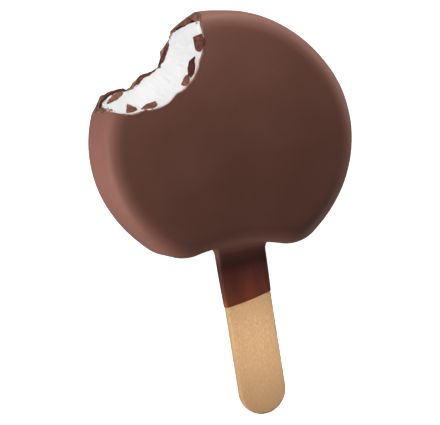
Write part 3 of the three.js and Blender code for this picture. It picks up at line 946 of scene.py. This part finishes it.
def chip_mesh(corners, thickness, seed, step=0.28 * mm, jag=0.05 * mm, bend=0.0):
    """A broken plate, its smooth face on Z = 0 facing -Z, as points, faces and the index
    of each face's material: 0 on the smooth face and 1 where it is broken."""
    outline = jagged_outline(corners, step, jag, seed)
    middle = outline.mean(0)
    # Each ring round the plate: how far out it lies and how deep, as shares.
    levels = [(0.12, 0), (0.3, 0), (0.5, 0), (0.68, 0), (0.82, 0), (0.92, 0), (0.975, 0.02),
              (1.0, 0.1), (1.03, 0.3), (0.97, 0.5), (1.02, 0.75), (0.93, 0.95), (0.8, 1.0),
              (0.4, 1.0), (0.1, 1.0)]
    smooth_rows, edge_rows = 7, 5
    edge_relief, face_relief, lump_size = 0.07 * mm, 0.02 * mm, 0.5 * mm
    rings = []
    for row, (share, depth) in enumerate(levels):
        ring = middle + (outline - middle) * share
        rough = edge_relief if smooth_rows <= row < smooth_rows + edge_rows else face_relief
        lumps = np.array([rough * noise.noise(Vector((x, y, depth * mm)) / lump_size
                                              + Vector((seed, 0, 0))) for x, y in ring])
        dip = bend * ((ring - middle) ** 2).sum(1)
        z = depth * thickness + lumps + dip
        rings.append(np.concatenate([ring + lumps[:, None], z[:, None]], 1))
    count = len(outline)
    points = np.concatenate(rings + [[(*middle, 0)], [(*middle, thickness)]])
    broken_rows = len(levels) - 1 - smooth_rows
    slots = [0] * smooth_rows * count + [1] * broken_rows * count + [0] * count + [1] * count
    return points, ring_faces(len(levels), count), slots


def on_bite(direction, height, out, lift, turn=0.0):
    """A frame on the bitten surface: X along it, Y up it, Z into the ice cream, moved out
    from it, and turned about X by lift so that its lower edge stands out."""
    facing = math.radians(direction)
    lean = (bite_reach_front - bite_reach_back) / head_thickness
    along = Vector((-math.sin(facing), math.cos(facing), 0))
    upward = Vector((lean * math.cos(facing), lean * math.sin(facing), 1)).normalized()
    inward = along.cross(upward)
    reach = float(bite_reach(np.array(direction), np.array(height))) - out
    frame_here = Matrix((along, upward, inward)).transposed().to_4x4()
    place = Vector((bite_x + reach * math.cos(facing), bite_y + reach * math.sin(facing), height))
    return (Matrix.Translation(place) @ frame_here @ Matrix.Rotation(math.radians(lift), 4, "X")
            @ Matrix.Rotation(math.radians(turn), 4, "Z"))


def join_chips(name, chips, materials, sharp_angle):
    """One mesh object from a list of (points, faces, slots, matrix), with its materials."""
    points, faces, slots = [], [], []
    for chip_points, chip_faces, chip_slots, matrix in chips:
        start = len(points)
        points += [matrix @ Vector(point) for point in chip_points]
        faces += [[start + corner for corner in face] for face in chip_faces]
        slots += chip_slots
    piece = add_mesh(name, [tuple(point) for point in points], faces)
    piece.data.polygons.foreach_set("material_index", np.array(slots, np.int32))
    for material in materials:
        piece.data.materials.append(material)
    soften(piece, sharp_angle)
    return piece


def shard_face_material(name, low, middle, high):
    """The smooth face of a shard, dusted and scuffed by the bite. Its paler copy on shards and
    flakes is painted light, and its darker copy is painted shade.
    """
    material, tree, shader = new_material(name)
    patches = noise_at(tree, 700, detail=3, offset=9)
    colour = ramp(tree, patches, [(0.32, low), (0.55, middle), (0.76, high)])
    set_inputs(tree, shader, Base_Color=colour, Roughness=0.55, Specular_IOR_Level=0.12,
               Normal=bump(tree, patches, 0.05 * mm, 0.5))
    return material


# The plain shard face, a paler copy that is painted light, and a darker copy that is painted shade.
shard_chocolate = shard_face_material("shard_chocolate", (0.085, 0.026, 0.016),
                                      (0.15, 0.05, 0.032), (0.3, 0.12, 0.075))
painted_light_shard_chocolate = shard_face_material("painted_light_shard_chocolate", (0.13, 0.044, 0.025),
                                           (0.215, 0.083, 0.05), (0.34, 0.15, 0.095))
painted_shade_shard_chocolate = shard_face_material("painted_shade_shard_chocolate", (0.045, 0.012, 0.007),
                                           (0.085, 0.024, 0.014), (0.16, 0.054, 0.032))
chips = []
for index, (direction, height, lift, out, face_shading, corners) in enumerate(shards):
    corners = [(x * mm, y * mm) for x, y in corners]
    points, faces, slots = chip_mesh(corners, shard_thickness, seed=40 + 5 * index)
    slots = [face_shading if slot == 0 else slot for slot in slots]
    place = on_bite(direction, height * mm, out * mm, lift)
    chips.append((points, faces, slots, place))
shard_materials = [shard_chocolate, chocolate_break, painted_light_shard_chocolate, painted_shade_shard_chocolate]
shard_piece = join_chips("chocolate_shards", chips, shard_materials, sharp_angle=45)
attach(shard_piece, "root")


# ---- The flakes -----------------------------------------------------------------------
# Thin scraps that split off the shell where it broke. They still hang on its edge at both
# ends of the bite and along its back.

# Each flake: direction, height, how far it stands out of the bite, its length along the
# bite, its width up it, its turn and lift in degrees, and its thickness, in millimetres.
flakes = [
    (-1.0, 11.0, 0.5, 1.2, 8.0, 6, 14, 0.45),
    (-4.0, 6.0, 0.5, 1.4, 6.0, -8, 20, 0.4),
    (-2.5, 15.5, 0.3, 1.0, 4.5, 12, 24, 0.35),
    (-10.0, 2.2, 0.5, 2.4, 1.1, 10, -8, 0.35),
    (-16.0, 1.5, 0.3, 0.9, 0.8, 35, 25, 0.3),
    (-23.0, 1.5, 1.0, 2.0, 1.0, 15, 20, 0.35),
    (-39.0, 1.4, 0.4, 1.6, 0.9, 30, 30, 0.3),
    (-42.5, 1.5, 0.4, 1.2, 0.8, -20, 40, 0.3),
    (-66.0, 1.5, 0.8, 2.4, 0.9, -8, 12, 0.3),
    (-96.0, 1.6, 0.9, 3.0, 1.0, -6, 10, 0.35),
    (-105.0, 4.0, 0.5, 1.0, 1.5, 10, 15, 0.35),
    (-107.5, 9.0, 0.4, 1.0, 1.7, -12, 20, 0.35),
    (-109.0, 13.0, 0.3, 1.1, 1.3, 20, 25, 0.3),
]


def flake_corners(length, width, seed):
    """An uneven polygon of five to seven corners, as long and wide as given."""
    count = 5 + int(3 * speckle(seed, 0, 11))
    corners = []
    for i in range(count):
        angle = 2 * math.pi * (i + 0.7 * speckle(seed, i, 12)) / count
        size = 0.8 + 0.4 * speckle(seed, i, 13)
        corners.append((length / 2 * size * math.cos(angle) * mm,
                        width / 2 * size * math.sin(angle) * mm))
    return corners


chips = []
for index, (direction, height, out, length, width, turn, lift, thickness) in enumerate(flakes):
    corners = flake_corners(length, width, index)
    points, faces, slots = chip_mesh(corners, thickness * mm, seed=90 + 7 * index, jag=0.06 * mm,
                                     bend=25.0)
    chips.append((points, faces, slots, on_bite(direction, height * mm, out * mm, lift, turn)))
# The flakes' smooth faces take the paler shard copy, which is painted light.
flake_piece = join_chips("chocolate_flakes", chips, [painted_light_shard_chocolate, chocolate_break],
                         sharp_angle=45)
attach(flake_piece, "root")


# ---- The crumbs -----------------------------------------------------------------------
# Grains of chocolate from the break, up to about 0.8 mm across, which stick to the ice
# cream and to the shell's broken edge, most of them at the left end of the bite.

crumb_rng = random.Random(12)

# Where crumbs lie: how many, the directions and heights between which they are strewn in
# degrees and millimetres, the largest radius, and the share of pale ones.
crumb_beds = [
    (60, (-111.5, -104.5), (2, 17), 0.36, 0.75),
    (14, (-114, -108), (15, 21), 0.32, 0.8),
    (12, (-92, -78), (20.6, 21.9), 0.3, 0.6),
    (5, (-101, -96), (20.8, 21.9), 0.3, 0.5),
    (7, (-51, -47), (20.2, 21.7), 0.34, 0.7),
    (7, (-31, -22), (20.4, 21.7), 0.3, 0.6),
    (12, (-19, -13), (0.8, 2.0), 0.26, 0.5),
    (14, (-46, -39), (0.4, 1.6), 0.3, 0.6),
    (16, (-100, -20), (1.0, 2.2), 0.2, 0.2),
    (8, (-9, -3), (3, 19), 0.22, 0.4),
]

# The least radius in millimetres, how far the small ones outnumber the large, and how far a
# crumb's middle stands off what it sticks to and where it is strewn from, as shares of its
# radius.
crumb_least = 0.08
crumb_fineness = 1.8
crumb_standing = 0.3
crumb_strewn_from = 0.4


def crumb_mesh(size, seed):
    """An angular grain: a ball of few faces with its corners knocked in and out."""
    points = []
    rows, count = 3, 6
    least_knock, knock_range, flatness, pole = 0.65, 0.6, 0.7, 0.6
    for row in range(1, rows + 1):
        polar = math.pi * row / (rows + 1)
        for i in range(count):
            turn = 2 * math.pi * (i + 0.5 * (row % 2)) / count
            knock = least_knock + knock_range * speckle(row, i, seed)
            points.append((size * knock * math.sin(polar) * math.cos(turn),
                           size * knock * math.sin(polar) * math.sin(turn),
                           -flatness * size * knock * math.cos(polar)))
    points += [(0, 0, -pole * size), (0, 0, pole * size)]
    return points, ring_faces(rows, count)


def settled(place, size):
    """Moves a crumb's frame to the nearest spot of the ice cream or the broken chocolate,
    or gives None where that is the shell's smooth skin, off which a crumb would slip."""
    found = []
    for piece in (ice_cream, shell):
        _, spot, normal, face = piece.closest_point_on_mesh(place.translation)
        smooth = piece == shell and piece.data.polygons[face].material_index == 0
        rests_at = spot + crumb_standing * size * normal
        found.append(((spot - place.translation).length, rests_at, smooth))
    _, place.translation, smooth = min(found, key=lambda item: item[0])
    return None if smooth else place


chips = []
for count, directions, heights, largest, pale_share in crumb_beds:
    for _ in range(count):
        size = mm * (crumb_least + (largest - crumb_least) * crumb_rng.random() ** crumb_fineness)
        place = on_bite(crumb_rng.uniform(*directions), crumb_rng.uniform(*heights) * mm,
                        crumb_strewn_from * size, crumb_rng.uniform(0, 360),
                        crumb_rng.uniform(0, 360))
        points, faces = crumb_mesh(size, len(chips))
        slot = 2 if crumb_rng.random() < pale_share else crumb_rng.choice((0, 1))
        place = settled(place, size)
        if place is not None:
            chips.append((points, faces, [slot] * len(faces), place))
pale_crumb_chocolate = shard_face_material("pale_crumb_chocolate", (0.24, 0.098, 0.055),
                                           (0.37, 0.17, 0.1), (0.52, 0.29, 0.19))
crumb_materials = [shard_chocolate, chocolate_break, pale_crumb_chocolate]
crumb_piece = join_chips("chocolate_crumbs", chips, crumb_materials, sharp_angle=30)
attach(crumb_piece, "root")


# ---- The floor, the lights and the camera -----------------------------------------------
# A plain pale floor that glows like a light table, low soft lights round the bar, small
# lamps on its bite and its stick, and a camera that looks down on it from its left.

view_from = Vector((-0.3227, 0.143, 0.9356)).normalized()
view_target = Vector((-4.32, -20.86, 11.0)) * mm
view_distance = 506 * mm
view_roll = math.radians(-9.12)
lens_on_36_mm_sensor = 138.4

floor_size = 20.0
floor_glow = 0.95
surround_glow = 0.25
glow_full_below = 0.1
glow_gone_above = 0.3

# Each light: its name, place, what it points at, its width and height, power in watts and
# beam angle in degrees.
lights = [
    ("soft_box", (0.03, 0.09, 0.07), (0.0, 0.05, 0.02), (0.08, 0.04), 0.028, 180),
    ("left_strip", (-0.16, -0.01, 0.042), (-0.04, 0.0, 0.01), (0.16, 0.03), 0.182, 180),
    ("shoulder_lamp", (-0.13, 0.03, 0.085), (-0.04, 0.01, 0.014), (0.1, 0.04), 0.029, 180),
    ("lower_left_strip", (-0.3, -0.22, 0.06), (-0.03, -0.02, 0.01), (0.16, 0.08), 0.35, 180),
    ("lower_right_strip", (0.2, -0.2, 0.05), (0.03, -0.02, 0.012), (0.12, 0.06), 0.13, 180),
    ("top_strip", (0.16, 0.33, 0.06), (0.01, 0.03, 0.012), (0.3, 0.07), 1.0, 180),
    ("right_strip", (0.35, 0.08, 0.06), (0.0, 0.0, 0.012), (0.2, 0.07), 0.42, 180),
    ("bite_lamp", (-0.13, 0.16, 0.06), (-0.022, 0.026, 0.012), (0.02, 0.02), 0.00062, 16),
    ("bite_end_lamp", (-0.1, 0.2, 0.1), (-0.006, 0.034, 0.014), (0.02, 0.02), 0.0007, 11),
    ("stick_lamp", (0.0, 0.0, 0.1), (0.0, -0.066, 0.012), (0.015, 0.015), 0.0025, 30),
]


def make_floor():
    """The floor glows for the camera alone: it neither lights the bar nor shadows it."""
    half = floor_size / 2
    floor = add_mesh("floor", [(-half, -half, 0), (half, -half, 0), (half, half, 0),
                               (-half, half, 0)], [(0, 1, 2, 3)])
    material, tree, shader = new_material("pale_floor")
    set_inputs(tree, shader, Base_Color=(0.9, 0.9, 0.9, 1), Roughness=0.9,
               Emission_Color=(1, 1, 1, 1), Emission_Strength=floor_glow)
    floor.data.materials.append(material)
    floor.visible_diffuse = False
    floor.visible_glossy = False
    floor.visible_shadow = False


def add_area_light(name, place, target, size, power, beam):
    """A rectangular light that points at a target."""
    data = bpy.data.lights.new(name, "AREA")
    data.shape = "RECTANGLE"
    data.size, data.size_y = size
    data.energy = power
    data.spread = math.radians(beam)
    light = bpy.data.objects.new(name, data)
    bpy.context.scene.collection.objects.link(light)
    light.location = place
    light.rotation_euler = (Vector(target) - Vector(place)).to_track_quat("-Z", "Y").to_euler()


def make_surround():
    """A pale glow from all round and from below that is dark overhead, so that the bar's
    walls are lit and its front face stays deep brown."""
    world = bpy.data.worlds.new("soft_surround")
    world.use_nodes = True
    tree = world.node_tree
    way = add_node(tree, "ShaderNodeTexCoord").outputs["Generated"]
    height = along_axis(tree, way, "Z")
    glow = map_range(tree, height, glow_full_below, glow_gone_above, surround_glow, 0)
    set_inputs(tree, tree.nodes["Background"], Color=(1, 1, 1, 1), Strength=glow)
    bpy.context.scene.world = world


make_floor()
for light in lights:
    add_area_light(*light)
make_surround()
bpy.context.scene.view_settings.view_transform = "Standard"

camera_data = bpy.data.cameras.new("camera")
camera_data.lens = lens_on_36_mm_sensor
camera_data.sensor_width = 36
camera_data.clip_start = 0.01
camera = bpy.data.objects.new("camera", camera_data)
bpy.context.scene.collection.objects.link(camera)
level = Vector((0, 1, 0)).cross(view_from).normalized()
upright = view_from.cross(level)
right = level * math.cos(view_roll) + upright * math.sin(view_roll)
up = view_from.cross(right)
rotation = Matrix((right, up, view_from)).transposed()
camera.matrix_world = Matrix.Translation(view_target + view_from * view_distance) @ rotation.to_4x4()
bpy.context.scene.camera = camera
